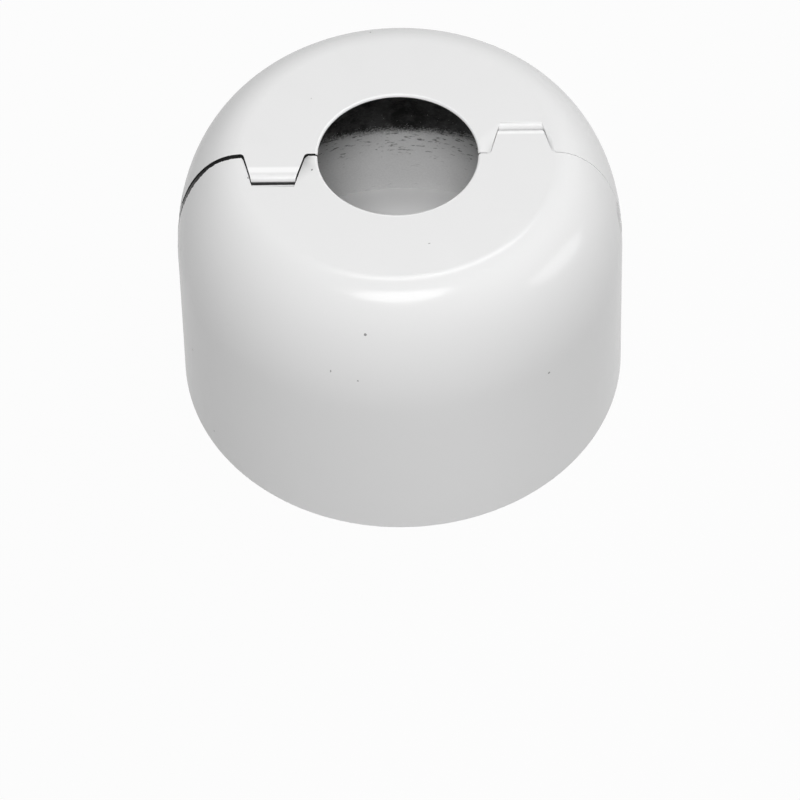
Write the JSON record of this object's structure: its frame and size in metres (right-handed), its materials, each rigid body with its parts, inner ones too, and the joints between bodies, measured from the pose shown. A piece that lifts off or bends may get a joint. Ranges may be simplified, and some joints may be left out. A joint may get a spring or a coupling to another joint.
{
  "type": "split sprinkler escutcheon",
  "caption": "Deep split cup escutcheon of pressed sheet steel, white outside, whose like halves close round a sprinkler pipe with hooked tabs and woven fingers.",
  "frame": {"origin": "centre of the open rim, on the rim's plane", "axes": "+Z along the pipe, from the open rim towards the holed top plate; the seam lies along X, with the front half on the -Y side"},
  "size_m": [0.0794, 0.0798, 0.0523],
  "materials": {
    "white_paint": "satin white paint on the outside, bare galvanised steel with overspray on the inside and on the hidden laps"
  },
  "bodies": {
    "rear_half": {"rear_half": "white_paint"},
    "front_half": {"front_half": "white_paint"}
  },
  "joints": [
    {"name": "halves_part", "type": "slide", "parent": "rear_half", "child": "front_half", "axis": [-0.1822, -0.9833, 0], "range_m": [0, 0.045]}
  ]
}
